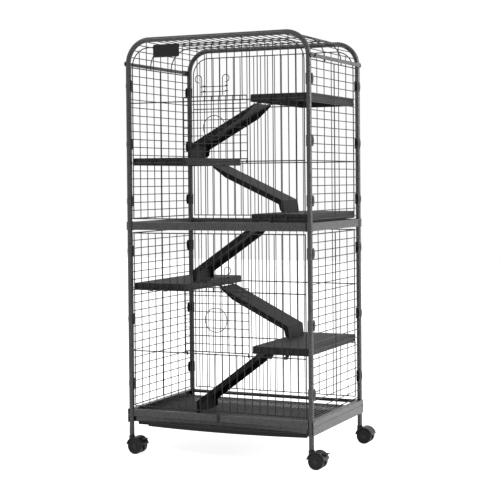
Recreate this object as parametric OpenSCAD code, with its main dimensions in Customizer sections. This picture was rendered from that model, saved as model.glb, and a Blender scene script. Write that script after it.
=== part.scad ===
// Four-level ferret cage: bent tube frame, welded wire panels, drop-down doors with
// lift latches, five lipped platforms joined by ramps, a pull-out tray and four casters.
// X runs across the front, the front faces -Y, Z is up and the floor is Z = 0.

/* [Frame] */
// Distance between the posts across the front, centre to centre
post_span_x = 624; // [600:1:700]
// Distance between the posts from front to back, centre to centre
post_span_y = 419; // [400:1:480]
// Outer diameter of the frame tube
tube_d = 16; // [14:0.5:18]
// Wall of the frame tube
tube_wall = 1.2; // [1:0.1:2]
// Height of the arches' centre line
arch_z = 1320; // [1300:1:1400]
// Radius of the arch corners at the tube's centre line
arch_r = 75; // [60:1:90]
// Height of the lower end of the posts
post_foot = 57.5; // [57.5:0.5:80]
// Underside of the middle bars
mid_z = 716; // [700:1:730]
// Height of the middle bars
mid_h = 26; // [20:1:30]
// Depth of the middle bars
mid_t = 12; // [8:0.5:14]
// Outer diameter of the sleeves on the posts at the middle bars
collar_d = 21; // [20:0.5:24]
// Length of the neck that plugs each lower post into the arch above it
neck_len = 40; // [20:1:60]
// Diameter of the top side rails
top_rail_d = 12; // [10:0.5:14]
// Depth of the top side rails' centre line below the arches' centre line
top_rail_drop = 73; // [70:1:80]
// Thickness of a top side rail's flattened ends
flat_t = 3; // [2:0.5:4]

/* [Base] */
// Top of the base rails
base_top = 142; // [140:1:150]
// Height of the side base rails
side_rail_h = 43; // [40:1:46]
// Sheet thickness of the base rails
rail_sheet = 2; // [1.5:0.1:2.5]
// Width of the runner under the tray
runner_w = 26; // [20:1:30]
// Height of the front base rail
front_rail_h = 24; // [20:1:26]
// Depth of the front base rail
front_rail_t = 10; // [8:0.5:12]
// Diameter of the two back base rails
back_rail_d = 10; // [8:0.5:12]
// Height of the lower back rail
back_low_z = 116; // [114:0.5:120]
// Top of the ledge that carries the floor grate
ledge_z = 118; // [116:0.5:120]

/* [Wire panels] */
// Diameter of the grid wires
wire_d = 2.8; // [2:0.1:3]
// Diameter of the border and cross wires
border_d = 3.5; // [3:0.1:4]
// Number of gaps between the upright wires of a front or back panel
front_gaps = 23; // [19:2:27]
// Wire spacing of the side panels and of the roof
side_pitch = 25.4; // [20:0.2:30]
// Distance from a post's centre to the panel's border wire
border_gap = 15; // [14:0.5:18]
// Distance from the middle bars to the nearest border wire
mid_gap = 10; // [8:0.5:14]
// Height of the border wire over the base rails
base_gap = 10; // [8:0.5:14]
// Drop of the front and back border wire below the arch centre line
arch_gap = 25; // [20:0.5:30]
// Upper cross wires of the upper level
high_cross_z = 1120; // [1100:1:1130]
// Lower cross wires of the upper level
low_cross_z = 930; // [920:1:935]
// Upper cross wires of the lower level
lower_high_cross_z = 526; // [515:1:530]
// Lower cross wires of the lower level
lower_low_cross_z = 330; // [325:1:335]
// Heights of the panel clips
clip_heights = [222, 430, 648, 808, 990, 1177];
// Length of a panel clip
clip_len = 32; // [24:1:36]

/* [Doors and latches] */
// Width of a door
door_w = 220; // [200:1:224]
// Height of a door's top wire over the cross wire behind it
door_over = 13; // [10:0.5:16]
// Height of a door's bottom wire over its hinge wire
door_foot = 8; // [7.5:0.5:10]
// Grid wire of the doors and latches
door_wire_d = 2.5; // [2:0.1:2.8]
// Number of gaps across and up a door's grid
door_gaps = [9, 8];
// Diameter of the ring on a door
ring_d = 75; // [60:1:90]
// Height of a latch over the door's top wire
latch_h = 66; // [56:1:76]
// Distance between a latch's uprights
latch_w = 72; // [60:1:74]
// Diameter of a latch's finger loops
ear_d = 25; // [20:0.5:28]

/* [Platforms and ramps] */
// Width of a platform
platform_w = 190; // [170:1:200]
// Depth of the lip round a platform
lip_h = 23; // [18:0.5:26]
// Sheet thickness of platforms and ramps
sheet = 1.5; // [1:0.1:2]
// Diameter of the bead along the edge that carries a ramp
bead_d = 5; // [4:0.5:6]
// Heights of the platforms' tops, from the top down
platform_tops = [1136, 945, 768, 546, 360];
// Lengths of the ramps' sheets, from the top down
ramp_lens = [272, 290, 294, 296, 312];
// Width of a ramp
ramp_w = 124; // [90:1:130]
// Height of a ramp's lower end
ramp_end = 26; // [16:1:30]
// Distance of each ramp behind the front posts, from the top down
ramp_y = [60, 176, 70, 222, 90];
// Diameter of the floor grate's wires
grate_wire_d = 2.2; // [1.8:0.1:3]
// Spacing of the floor grate's wires
grate_pitch = 12.7; // [10:0.1:25.4]

/* [Tray] */
// Height of the tray's walls
tray_h = 12; // [8:0.5:13]
// Wall of the tray
tray_wall = 2; // [1.5:0.1:3]
// Distance the bowed front stands out at its middle
tray_bow = 48; // [30:1:60]
// Height of the lip along the bowed front
tray_lip = 14; // [10:0.5:16]

/* [Casters] */
// Diameter of a caster's wheels
wheel_d = 50; // [46:1:52]
// Width of one wheel
wheel_w = 16; // [12:0.5:18]
// Distance from a caster's stem to its axle
trail = 20; // [18:0.5:22]
// Thickness of the housing between the wheels
web_t = 10; // [10:0.5:12]
// Thickness of the hood over the wheels
hood_t = 3.5; // [3:0.1:4]
// Diameter of the stems
stem_d = 8; // [7:0.1:8.4]
// Diameter of the axles
axle_d = 6; // [5:0.1:8]
// Length of a brake pedal
pedal_len = 16; // [12:0.5:20]

/* [Hidden] */
$fn = 48;

// clearances
fit = 0.05;       // welded wires and butted ends
slip = 0.1;       // pieces that plug or slide into each other
seat = 0.3;       // a piece resting on another
run_fit = 0.08;   // running fit of axles and pins, per side

// frame
px = post_span_x / 2;
py = post_span_y;
tube_r = tube_d / 2;
wire_r = wire_d / 2;
border_r = border_d / 2;
post_top = mid_z + mid_h / 2;
lap = border_r + wire_r + fit;            // centres of a grid wire lapped on a border wire
cross_lap = border_d + fit;               // a cross wire lapped outside a border wire
top_rail_z = arch_z - top_rail_drop;
top_rail_x = px + tube_r + slip + flat_t / 2;
bolt_d = 5;
bolt_head_d = 10;
bolt_head_t = 2.6;
bolt_reach = 6;
mid_bolt_x = -px + 42;

// panels
bx = px - border_gap;
upper_low = mid_z + mid_h + mid_gap;
upper_side_top = arch_z - arch_r - mid_gap + 1;
lower_low = base_top + base_gap;
lower_top = mid_z - mid_gap;
upright_pitch = 2 * bx / front_gaps;
border_top = arch_z - arch_gap;
border_bend = arch_r - border_gap;
door_gap = 9 / 2;                          // the door opening is nine gaps wide
open_x = door_gap * upright_pitch;

// base
side_low = base_top - side_rail_h;
web_x = px + tube_r + slip;
runner_x = web_x + rail_sheet - runner_w;
grate_z = ledge_z + seat + grate_wire_d / 2;
grate_top = grate_z + grate_wire_d * 1.5 + fit;
tray_low = side_low + rail_sheet + seat;
tray_x = runner_x + 7;

// doors
door_y = -cross_lap - border_d - seat;
door_plane = -cross_lap - door_y;          // door's border wire in front of the hinge axis
door_lap = border_r + door_wire_d / 2 + fit;
latch_y = door_y - border_r - door_wire_d / 2 - seat - 1;
latch_rest = seat + border_r;
latch_bar_x = 1.5 * upright_pitch;
latch_x = -7;                              // the latches stand a little left of the middle
latch_low_bar = 12;
latch_high_bar = 28;

// platforms and ramps
platform_x = px - 9;                       // outer edge of a platform
platform_y = 6;                            // front edge of a platform
platform_d = py - 2 * platform_y;
inner_x = platform_x - platform_w;         // edge that carries the ramp
hook_w = 12;
hook_t = 2;
hook_lip = 6;
hook_wire_z = [high_cross_z, low_cross_z, upper_low, lower_high_cross_z, lower_low_cross_z];
bead_drop = lip_h - bead_d / 2;
ramp_floor = [platform_tops[1], platform_tops[2], platform_tops[3], platform_tops[4], grate_top];
plumb = 32;                                // tilt at which a ramp's lower end stands upright
function ramp_toe(i) = [ramp_lens[i] + ramp_end * sin(plumb), ramp_end * cos(plumb)];
ramp_hook_w = 16;
ramp_hook_in = 18;

// casters
wheel_r = wheel_d / 2;
hood_r = wheel_r + 1 + hood_t;
caster_w = web_t + 2 * (wheel_w + 0.6);
stem_low = wheel_r + 11.2;
housing_top = post_foot - 2.5;
pedal_at = 45;                             // place of the pedal's pin round the axle
pedal_r = hood_r + 0.5;
pedal_x = trail + pedal_r * cos(pedal_at);
pedal_z = wheel_r + pedal_r * sin(pedal_at);
pedal_w = 17;
pedal_rise = 10;
pedal_t = 2.5;
pedal_lift = 0.8;                          // middle of the pedal's plate over its pin
pin_d = 3;

// The outermost points give the middle of the footprint, where the origin lies.
x_low = -(top_rail_x + top_rail_d / 2);
x_high = px + pedal_x + pedal_len * cos(pedal_rise)
    + (pedal_t / 2 - pedal_lift) * sin(pedal_rise);
y_low = -tray_bow;
y_high = py + caster_w / 2;
x_mid = (x_low + x_high) / 2;
y_mid = (y_low + y_high) / 2;

frame_colour = [0.29, 0.29, 0.30];
wire_colour = [0.24, 0.24, 0.25];
sheet_colour = [0.10, 0.10, 0.11];
plastic_colour = [0.07, 0.07, 0.07];
bolt_colour = [0.62, 0.62, 0.62];

module placed() {
    translate([-x_mid, -y_mid, 0]) children();
}

module tube(d, wall, h) {
    difference() {
        cylinder(d = d, h = h);
        translate([0, 0, -1]) cylinder(d = d - 2 * wall, h = h + 2);
    }
}

// A round wire from one point to another along X, Y or Z.
module wire_z(x, y, z0, z1, d) {
    translate([x, y, z0]) cylinder(d = d, h = z1 - z0, $fn = 24);
}
module wire_x(y, z, x0, x1, d) {
    translate([x0, y, z]) rotate([0, 90, 0]) cylinder(d = d, h = x1 - x0, $fn = 24);
}
module wire_y(x, z, y0, y1, d) {
    translate([x, y0, z]) rotate([-90, 0, 0]) cylinder(d = d, h = y1 - y0, $fn = 24);
}

// A quarter bend in the XZ plane about (x, z), from angle a, of centre-line radius r.
module bend(x, y, z, r, a, d) {
    translate([x, y, z]) rotate([90, 0, 0]) rotate([0, 0, a])
        rotate_extrude(angle = 90, $fn = 96) translate([r, 0]) circle(d = d, $fn = 24);
}

// A ring of wire round an axis along Z.
module wire_ring(r, d) {
    rotate_extrude($fn = 72) translate([r, 0]) circle(d = d, $fn = 24);
}

module ring_profile(d, wall) {
    difference() {
        circle(d = d);
        circle(d = d - 2 * wall);
    }
}

module rounded(w, d, r) {
    translate([r, 0]) square([w - 2 * r, d]);
    translate([0, r]) square([w, d - 2 * r]);
    for (x = [r, w - r], y = [r, d - r]) translate([x, y]) circle(r = r);
}

// ---- frame ----

module arch_tube() {
    leg = arch_z - arch_r - post_top;
    difference() {
        union() {
            for (s = [-1, 1]) translate([s * px, 0, post_top]) tube(tube_d, tube_wall, leg);
            translate([-px + arch_r, 0, arch_z]) rotate([0, 90, 0])
                tube(tube_d, tube_wall, 2 * (px - arch_r));
            for (s = [0, 1]) mirror([s, 0, 0]) translate([px - arch_r, 0, arch_z - arch_r])
                rotate([90, 0, 0]) rotate_extrude(angle = 90, $fn = 96)
                    translate([arch_r, 0]) ring_profile(tube_d, tube_wall);
        }
        for (s = [-1, 1]) translate([s * px, 0, top_rail_z]) rotate([0, s * 90, 0])
            cylinder(d = bolt_d + 2 * slip, h = tube_d);
    }
}

module front_arch() {
    color(frame_colour) placed() arch_tube();
}

module back_arch() {
    color(frame_colour) placed() translate([0, py, 0]) arch_tube();
}

module post(s, y) {
    bore = tube_d - 2 * tube_wall;
    color(frame_colour) placed() translate([s * px, y, 0]) difference() {
        union() {
            translate([0, 0, post_foot]) tube(tube_d, tube_wall, post_top - slip - post_foot);
            translate([0, 0, post_top - slip - 2]) tube(bore - 2 * slip, 1, neck_len + 2);
            translate([0, 0, post_top - slip - 2]) tube(tube_d, tube_wall + 1.2, 2);
        }
        translate([0, 0, side_low + side_rail_h / 2]) rotate([0, s * 90, 0])
            cylinder(d = bolt_d + 2 * slip, h = tube_d);
    }
}

module front_left_post() {
    post(-1, 0);
}
module front_right_post() {
    post(1, 0);
}
module back_left_post() {
    post(-1, py);
}
module back_right_post() {
    post(1, py);
}

module mid_collars() {
    color(frame_colour) placed()
        for (s = [-1, 1], y = [0, py]) translate([s * px, y, mid_z])
            tube(collar_d, (collar_d - tube_d) / 2 - slip, mid_h);
}

module top_rail(s) {
    reach = tube_r + 4;
    flat_h = top_rail_d + 3;
    flat_from = tube_r + 14;
    color(frame_colour) placed() translate([s * top_rail_x, 0, top_rail_z]) difference() {
        union() {
            translate([0, flat_from, 0]) rotate([-90, 0, 0])
                cylinder(d = top_rail_d, h = py - 2 * flat_from);
            for (e = [0, 1]) translate([0, e * py, 0]) mirror([0, e, 0]) {
                translate([-flat_t / 2, 0, -flat_h / 2]) cube([flat_t, flat_from + 8, flat_h]);
                rotate([0, 90, 0]) translate([0, 0, -flat_t / 2]) cylinder(d = flat_h, h = flat_t);
            }
        }
        for (y = [0, py]) translate([-flat_t, y, 0]) rotate([0, 90, 0])
            cylinder(d = bolt_d + 2 * slip, h = 2 * flat_t);
    }
}

module left_top_rail() {
    top_rail(-1);
}
module right_top_rail() {
    top_rail(1);
}

// A rectangular tube along X, centred on the line between two posts.
module box_tube(length, t, h, wall) {
    translate([-length / 2, -t / 2, 0]) difference() {
        cube([length, t, h]);
        translate([-1, wall, wall]) cube([length + 2, t - 2 * wall, h - 2 * wall]);
    }
}

module mid_cross_bar(y) {
    length = 2 * (px - collar_d / 2 - slip);
    color(frame_colour) placed() difference() {
        translate([0, y, mid_z]) box_tube(length, mid_t, mid_h, tube_wall);
        if (y == 0) translate([mid_bolt_x, 0, post_top]) rotate([90, 0, 0])
            cylinder(d = bolt_d + 2 * slip, h = mid_t);
    }
}

module mid_side_bar(s) {
    length = py - collar_d - 2 * slip;
    color(frame_colour) placed() translate([s * px, py / 2, mid_z]) rotate([0, 0, 90])
        box_tube(length, mid_t, mid_h, tube_wall);
}

module mid_front_bar() {
    mid_cross_bar(0);
}
module mid_back_bar() {
    mid_cross_bar(py);
}
module mid_left_bar() {
    mid_side_bar(-1);
}
module mid_right_bar() {
    mid_side_bar(1);
}

module base_front_rail() {
    length = 2 * (px - tube_r - slip);
    color(frame_colour) placed() translate([0, 0, base_top - front_rail_h])
        box_tube(length, front_rail_t, front_rail_h, tube_wall);
}

// Folded channel outside two posts: a web with a groove, a runner for the tray, a ledge
// for the floor grate and a top flange between the posts.
module base_side_rail(s) {
    inner = tube_r + 4;
    groove_z = ledge_z + 7;
    color(frame_colour) placed() mirror([s < 0 ? 1 : 0, 0, 0]) difference() {
        union() {
            translate([web_x, -tube_r, side_low]) cube([rail_sheet, py + tube_d, side_rail_h]);
            translate([runner_x, inner, side_low]) cube([runner_w, py - 2 * inner, rail_sheet]);
            translate([runner_x + 5, inner, ledge_z - rail_sheet])
                cube([runner_w - 5, py - 2 * inner, rail_sheet]);
            translate([px - tube_r, inner, base_top - rail_sheet])
                cube([tube_d + slip + rail_sheet, py - 2 * inner, rail_sheet]);
        }
        translate([web_x + rail_sheet - 0.8, -tube_r - 1, groove_z])
            cube([2, py + tube_d + 2, 1.6]);
        for (y = [0, py]) translate([web_x - 1, y, side_low + side_rail_h / 2])
            rotate([0, 90, 0]) cylinder(d = bolt_d + 2 * slip, h = rail_sheet + 2);
    }
}

module base_left_rail() {
    base_side_rail(-1);
}
module base_right_rail() {
    base_side_rail(1);
}

module base_back_rail(z) {
    length = 2 * (px - tube_r - slip);
    color(frame_colour) placed() translate([-length / 2, py, z]) rotate([0, 90, 0])
        tube(back_rail_d, 1, length);
}

module base_back_upper_rail() {
    base_back_rail(base_top - back_rail_d / 2);
}
module base_back_lower_rail() {
    base_back_rail(back_low_z);
}

// One bolt through a hole from the outside: a low round head and a shank.
module bolt(length) {
    cylinder(d = bolt_d, h = length);
    translate([0, 0, length]) cylinder(d = bolt_head_d, h = bolt_head_t * 0.6);
    translate([0, 0, length + bolt_head_t * 0.6]) cylinder(d = bolt_head_d - 3, h = bolt_head_t * 0.4);
}

module frame_bolts() {
    top_from = top_rail_x + flat_t / 2 + seat / 3 - bolt_reach;
    side_from = web_x + rail_sheet + seat / 3 - bolt_reach;
    color(bolt_colour) placed() for (s = [0, 1], y = [0, py]) mirror([s, 0, 0]) {
        translate([top_from, y, top_rail_z]) rotate([0, 90, 0]) bolt(bolt_reach);
        translate([side_from, y, side_low + side_rail_h / 2]) rotate([0, 90, 0]) bolt(bolt_reach);
    }
    color(bolt_colour) placed() translate([mid_bolt_x, bolt_reach - mid_t / 2 - seat / 3, post_top])
        rotate([90, 0, 0]) bolt(bolt_reach);
}

// ---- wire panels ----

// Border wires of a flat panel that stands between x0 and x1.
module border(x0, x1, z0, z1) {
    for (x = [x0, x1]) wire_z(x, 0, z0 - border_r, z1 + border_r, border_d);
    for (z = [z0, z1]) wire_x(0, z, x0 + border_r + fit, x1 - border_r - fit, border_d);
}

// Height at x of an arch that turns down with radius r outside the middle part of half width c.
function arc_z(x, z, c, r) = z + sqrt(pow(r, 2) - pow(max(0, abs(x) - c), 2));
// Heights of the arched border wire's underside and top, and of the tube's underside.
function border_under(x) = arc_z(x, border_top - border_bend, bx - border_bend, border_bend - border_r);
function border_over(x) = arc_z(x, border_top - border_bend, bx - border_bend, border_bend + border_r);
function tube_under(x) = arc_z(x, arch_z - arch_r, px - arch_r, arch_r - tube_r);

// Upright wires between two heights, left out of the door opening if there is one.
module uprights(z0, top, arched, opening) {
    for (i = [1 : front_gaps - 1]) {
        x = -bx + i * upright_pitch;
        end = arched ? min(top, border_under(abs(x) + wire_r)) : top;
        in_door = len(opening) > 0 && abs(x) < open_x - 1;
        if (in_door) {
            wire_z(x, 0, z0 + border_r + fit, opening[0] + border_r, wire_d);
            wire_z(x, 0, opening[1] - border_r, end - fit, wire_d);
        } else {
            wire_z(x, 0, z0 + border_r + fit, end - fit, wire_d);
        }
    }
}

module cross_wires(heights, out) {
    for (z = heights) wire_x(out * cross_lap, z, -bx - border_r, bx + border_r, border_d);
}

// Arched panel: border legs, bent corners, a top wire and four stubs up to the tube.
module arched_panel(heights, opening, out) {
    bend_z = border_top - border_bend;
    bend_x = bx - border_bend;
    stub_i = [2, 8, 15, 21];
    for (x = [-bx, bx]) wire_z(x, 0, upper_low - border_r, bend_z - fit, border_d);
    wire_x(0, upper_low, -bx + border_r + fit, bx - border_r - fit, border_d);
    wire_x(0, border_top, -bend_x + fit, bend_x - fit, border_d);
    bend(bend_x, 0, bend_z, border_bend, 0, border_d);
    bend(-bend_x, 0, bend_z, border_bend, 90, border_d);
    for (i = stub_i) {
        x = -bx + i * upright_pitch;
        foot = border_over(abs(x) - wire_r) + fit;
        wire_z(x, 0, foot, tube_under(abs(x) + wire_r) - fit, wire_d);
    }
    uprights(upper_low, border_top - border_r, true, opening);
    cross_wires(heights, out);
}

module flat_panel(heights, opening, out) {
    border(-bx, bx, lower_low, lower_top);
    uprights(lower_low, lower_top - border_r, false, opening);
    cross_wires(heights, out);
}

module front_upper_panel() {
    color(wire_colour) placed()
        arched_panel([high_cross_z, low_cross_z], [low_cross_z, high_cross_z], -1);
}
module front_lower_panel() {
    color(wire_colour) placed()
        flat_panel([lower_high_cross_z, lower_low_cross_z], [lower_low_cross_z, lower_high_cross_z], -1);
}
module back_upper_panel() {
    color(wire_colour) placed() translate([0, py, 0])
        arched_panel([high_cross_z, low_cross_z], [], 1);
}
module back_lower_panel() {
    color(wire_colour) placed() translate([0, py, 0])
        flat_panel([lower_high_cross_z, lower_low_cross_z], [], 1);
}

// Side panel in the plane of two posts: border, a stiffener and lapped grid wires outside.
module side_panel(s, z0, z1) {
    y0 = border_gap;
    y1 = py - border_gap;
    rows = round((z1 - z0) / side_pitch);
    color(wire_colour) placed() {
        for (y = [y0, y1]) wire_z(s * px, y, z0 - border_r, z1 + border_r, border_d);
        wire_z(s * px, py / 2, z0 + border_r + fit, z1 - border_r - fit, border_d);
        for (z = [z0, z1]) wire_y(s * px, z, y0 + border_r + fit, y1 - border_r - fit, border_d);
        for (i = [1 : rows - 1])
            wire_y(s * (px + lap), z0 + i * (z1 - z0) / rows, y0 - border_r, y1 + border_r, wire_d);
    }
}

module left_upper_panel() {
    side_panel(-1, upper_low, upper_side_top);
}
module right_upper_panel() {
    side_panel(1, upper_low, upper_side_top);
}
module left_lower_panel() {
    side_panel(-1, lower_low, lower_top);
}
module right_lower_panel() {
    side_panel(1, lower_low, lower_top);
}

// Roof: wires from arch to arch along the arch's own line, on three bent cross wires.
module roof_panel() {
    flat = px - arch_r;
    columns = 2 * round(flat / side_pitch);
    turns = round(arch_r * PI / 2 / side_pitch);
    bend_z = arch_z - arch_r;
    low_r = arch_r - lap;
    y0 = tube_r + slip;
    y1 = py - tube_r - slip;
    leg_low = upper_side_top + border_r + fit;
    color(wire_colour) placed() {
        for (i = [0 : columns]) wire_y(-flat + i * 2 * flat / columns, arch_z, y0, y1, wire_d);
        for (s = [-1, 1], i = [1 : turns]) {
            a = 90 - 90 * i / turns;
            wire_y(s * (flat + arch_r * cos(a)), bend_z + arch_r * sin(a), y0, y1, wire_d);
        }
        for (i = [1 : 3]) {
            y = py * i / 4;
            wire_x(y, arch_z - lap, -flat + fit, flat - fit, border_d);
            bend(flat, y, bend_z, low_r, 0, border_d);
            bend(-flat, y, bend_z, low_r, 90, border_d);
            for (s = [-1, 1]) wire_z(s * (flat + low_r), y, leg_low, bend_z - fit, border_d);
        }
    }
}

// Plastic clip that holds the border wires of two panels against a post.
module clip() {
    ring_r = tube_r + slip;
    shell = 2.4;
    grip_r = border_r + slip;
    difference() {
        union() {
            difference() {
                cylinder(r = ring_r + shell, h = clip_len);
                translate([-20, -40, -1]) cube([60, 40, clip_len + 2]);
                translate([0, -20, -1]) cube([40, 60, clip_len + 2]);
            }
            for (a = [90, 180]) rotate([0, 0, a]) {
                translate([ring_r + 0.6, -2, 0]) cube([border_gap - ring_r - 2, 4, clip_len]);
                translate([border_gap, 0, 0]) cylinder(r = grip_r + 1.8, h = clip_len);
            }
        }
        translate([0, 0, -1]) cylinder(r = ring_r, h = clip_len + 2);
        for (a = [90, 180]) rotate([0, 0, a]) translate([border_gap, 0, -1])
            cylinder(r = grip_r, h = clip_len + 2);
        // the grips are open on the outside, where the cross wires pass
        translate([0.5, ring_r, -1]) cube([20, 20, clip_len + 2]);
        translate([-30, -20.5, -1]) cube([30, 20, clip_len + 2]);
    }
}

module panel_clips() {
    color(plastic_colour) placed()
        for (s = [0, 1], e = [0, 1], z = clip_heights)
            mirror([s, 0, 0]) translate([px, e * py, z - clip_len / 2]) mirror([0, e, 0]) clip();
}

// ---- doors and latches ----

// Door hung on the cross wire at z0 and closing against the one at z1.
module door(z0, z1) {
    low = z0 + door_foot;
    top = z1 + door_over;
    hx = door_w / 2;
    corner = 6;
    step_x = door_w / door_gaps[0];
    step_z = (top - low) / door_gaps[1];
    color(wire_colour) placed() translate([0, door_y, 0]) {
        for (x = [-hx, hx]) wire_z(x, 0, z0, top - corner - fit, border_d);
        wire_x(0, top, -hx + corner + fit, hx - corner - fit, border_d);
        bend(hx - corner, 0, top - corner, corner, 0, border_d);
        bend(-hx + corner, 0, top - corner, corner, 90, border_d);
        wire_x(0, low, -hx + border_r + fit, hx - border_r - fit, border_d);
        for (i = [1 : door_gaps[0] - 1])
            wire_z(-hx + i * step_x, 0, low + border_r + fit, top - border_r - fit, door_wire_d);
        for (i = [1 : door_gaps[1] - 1])
            wire_x(-door_lap, low + i * step_z, -hx - border_r, hx + border_r, door_wire_d);
        translate([0, -door_lap - door_wire_d - fit, (low + top) / 2]) rotate([90, 0, 0])
            wire_ring(ring_d / 2, door_wire_d);
        for (s = [-1, 1]) translate([s * (hx - border_d - fit), door_plane, z0]) rotate([0, 90, 0])
            wire_ring(door_plane, border_d);
    }
}

module upper_door() {
    door(low_cross_z, high_cross_z);
}
module lower_door() {
    door(lower_low_cross_z, lower_high_cross_z);
}

// Lift latch: two uprights with finger loops, two cross wires and eyes on two panel wires.
module latch(z1) {
    low = z1 + door_over + latch_rest;
    ear_r = ear_d / 2 - door_wire_d / 2;
    lap_d = door_wire_d + fit;
    eye_r = wire_r + seat + door_wire_d / 2;
    ear_z = low + latch_h - ear_d + ear_r;
    bar_reach = latch_bar_x + door_wire_d;
    color(wire_colour) placed() {
        for (s = [-1, 1]) translate([latch_x + s * latch_w / 2, latch_y, 0]) {
            wire_z(0, 0, low, ear_z - fit, door_wire_d);
            translate([s * ear_r, 0, ear_z]) rotate([90, 0, 0]) rotate([0, 0, s > 0 ? -60 : 0])
                rotate_extrude(angle = 240, $fn = 96) translate([ear_r, 0])
                    circle(d = door_wire_d, $fn = 24);
        }
        for (h = [latch_low_bar, latch_high_bar]) {
            wire_x(latch_y + lap_d, low + h, latch_x - bar_reach - 2, bar_reach, door_wire_d);
            for (x = [-latch_bar_x, latch_bar_x]) {
                translate([x, 0, low + h + lap_d]) wire_ring(eye_r, door_wire_d);
                wire_y(x, low + h + lap_d, latch_y, -eye_r - door_wire_d / 2 - fit, door_wire_d);
            }
        }
    }
}

module upper_latch() {
    latch(high_cross_z);
}
module lower_latch() {
    latch(lower_high_cross_z);
}

// ---- platforms and ramps ----

// Sign of the side a platform stands on: the first is on the right.
function side(i) = i % 2 == 0 ? 1 : -1;

module platform(i) {
    r = 8;
    color(sheet_colour) placed() mirror([side(i) < 0 ? 1 : 0, 0, 0])
        translate([inner_x, platform_y, platform_tops[i] - lip_h]) {
            difference() {
                linear_extrude(lip_h) rounded(platform_w, platform_d, r);
                translate([sheet, sheet, -sheet])
                    linear_extrude(lip_h) rounded(platform_w - 2 * sheet, platform_d - 2 * sheet, r - sheet);
            }
            translate([sheet / 2, r, bead_d / 2]) rotate([-90, 0, 0])
                cylinder(d = bead_d, h = platform_d - 2 * r);
        }
}

module platform_1() {
    platform(0);
}
module platform_2() {
    platform(1);
}
module platform_3() {
    platform(2);
}
module platform_4() {
    platform(3);
}
module platform_5() {
    platform(4);
}

// Hook from a platform's lip out between the uprights and over a cross wire.
module hook(top, wire_z0, wire_y0) {
    rest = wire_z0 + border_r + seat;
    strip_y = platform_y - hook_t - slip;
    out_y = wire_y0 - border_r - seat - hook_t;
    translate([-hook_w / 2, strip_y, min(rest, top - lip_h + 2)])
        cube([hook_w, hook_t, top - 4 - min(rest, top - lip_h + 2)]);
    translate([-hook_w / 2, out_y, rest]) cube([hook_w, strip_y - out_y + 0.5, hook_t]);
    translate([-hook_w / 2, out_y, rest - hook_lip]) cube([hook_w, hook_t, hook_lip + hook_t]);
}

module platform_hooks() {
    hook_xs = [7 * upright_pitch, 9 * upright_pitch];
    color(plastic_colour) placed()
        for (i = [0 : 4], x = hook_xs, e = [0, 1]) {
            wire_y0 = i == 2 ? 0 : -cross_lap;
            translate([side(i) * x, e * py, 0]) mirror([0, e, 0])
                hook(platform_tops[i], hook_wire_z[i], wire_y0);
        }
}

// Height from the bead's axis down to the surface that a ramp stands on.
function ramp_fall(i) = platform_tops[i] - bead_drop - ramp_floor[i] - seat;
// Slope of a ramp's sheet, so that its toe comes down on that surface.
function ramp_slope(i) = asin(ramp_fall(i) / norm(ramp_toe(i))) - atan(ramp_toe(i)[1] / ramp_toe(i)[0]);

// Hook of the ramp round the bead, open where the lip comes down.
module ramp_hook() {
    in_r = bead_d / 2 + seat;
    out_r = in_r + 2;
    open_from = 65;
    open_to = 156;
    rotate([90, 0, 0]) linear_extrude(ramp_hook_w, center = true) difference() {
        circle(r = out_r);
        circle(r = in_r);
        polygon([[0, 0], for (a = [open_from, (open_from + open_to) / 2, open_to])
            [3 * out_r * cos(a), 3 * out_r * sin(a)]]);
    }
}

// Ramp in its own frame: the bead's axis is Y, the sheet runs down along +X.
module ramp_body(length, toe) {
    start = bead_d / 2 + seat + 1;
    flange_at = 12;
    flange_h = 6;
    side_line = [[flange_at, 0], [length, 0], [toe[0], -toe[1]], [flange_at, -flange_h]];
    end_line = [[length - sheet, 0], [length, 0], [toe[0], -toe[1]], [toe[0] - sheet, -toe[1]]];
    for (y = [ramp_hook_in, ramp_w - ramp_hook_in]) translate([0, y, 0]) {
        ramp_hook();
        translate([start, -ramp_hook_w / 2, -sheet / 2]) cube([flange_at, ramp_hook_w, sheet]);
    }
    translate([flange_at - 2, 0, -sheet / 2]) cube([length - flange_at + 2, ramp_w, sheet]);
    translate([0, 0, sheet / 2]) rotate([90, 0, 0]) mirror([0, 0, 1]) {
        for (y = [0, ramp_w - sheet]) translate([0, 0, y]) linear_extrude(sheet) polygon(side_line);
        linear_extrude(ramp_w) polygon(end_line);
    }
}

module ramp(i) {
    bead_x = inner_x + sheet / 2;
    color(sheet_colour) placed() mirror([side(i) > 0 ? 0 : 1, 0, 0])
        translate([bead_x, ramp_y[i], platform_tops[i] - bead_drop])
            mirror([1, 0, 0]) rotate([0, ramp_slope(i), 0]) ramp_body(ramp_lens[i], ramp_toe(i));
}

module ramp_1() {
    ramp(0);
}
module ramp_2() {
    ramp(1);
}
module ramp_3() {
    ramp(2);
}
module ramp_4() {
    ramp(3);
}
module ramp_5() {
    ramp(4);
}

// Floor grate: fine crossed wires inside a wire border, laid on the side ledges.
module floor_grate() {
    gx = runner_x + 16;
    y0 = max(front_rail_t / 2, tube_r) + grate_wire_d;
    y1 = py - max(back_rail_d / 2, tube_r) - grate_wire_d;
    across = round(2 * gx / grate_pitch);
    along = round((y1 - y0) / grate_pitch);
    upper = grate_z + grate_wire_d + fit;
    color(wire_colour) placed() {
        for (i = [0 : along]) wire_x(y0 + i * (y1 - y0) / along, grate_z, -gx, gx, grate_wire_d);
        for (i = [0 : across]) wire_y(-gx + i * 2 * gx / across, upper, y0 - 1, y1 + 1, grate_wire_d);
    }
}

// ---- tray ----

// Outline of the tray's front shelf: straight sides and a shallow arc in front.
module bow(inset, back_y) {
    half = tray_x - 18;
    r = (pow(tray_x - 14, 2) + pow(tray_bow, 2)) / (2 * tray_bow);
    intersection() {
        translate([0, r - tray_bow]) circle(r = r - inset, $fn = 240);
        translate([-half + inset, -tray_bow - 1]) square([2 * (half - inset), back_y + tray_bow + 1]);
    }
}

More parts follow.
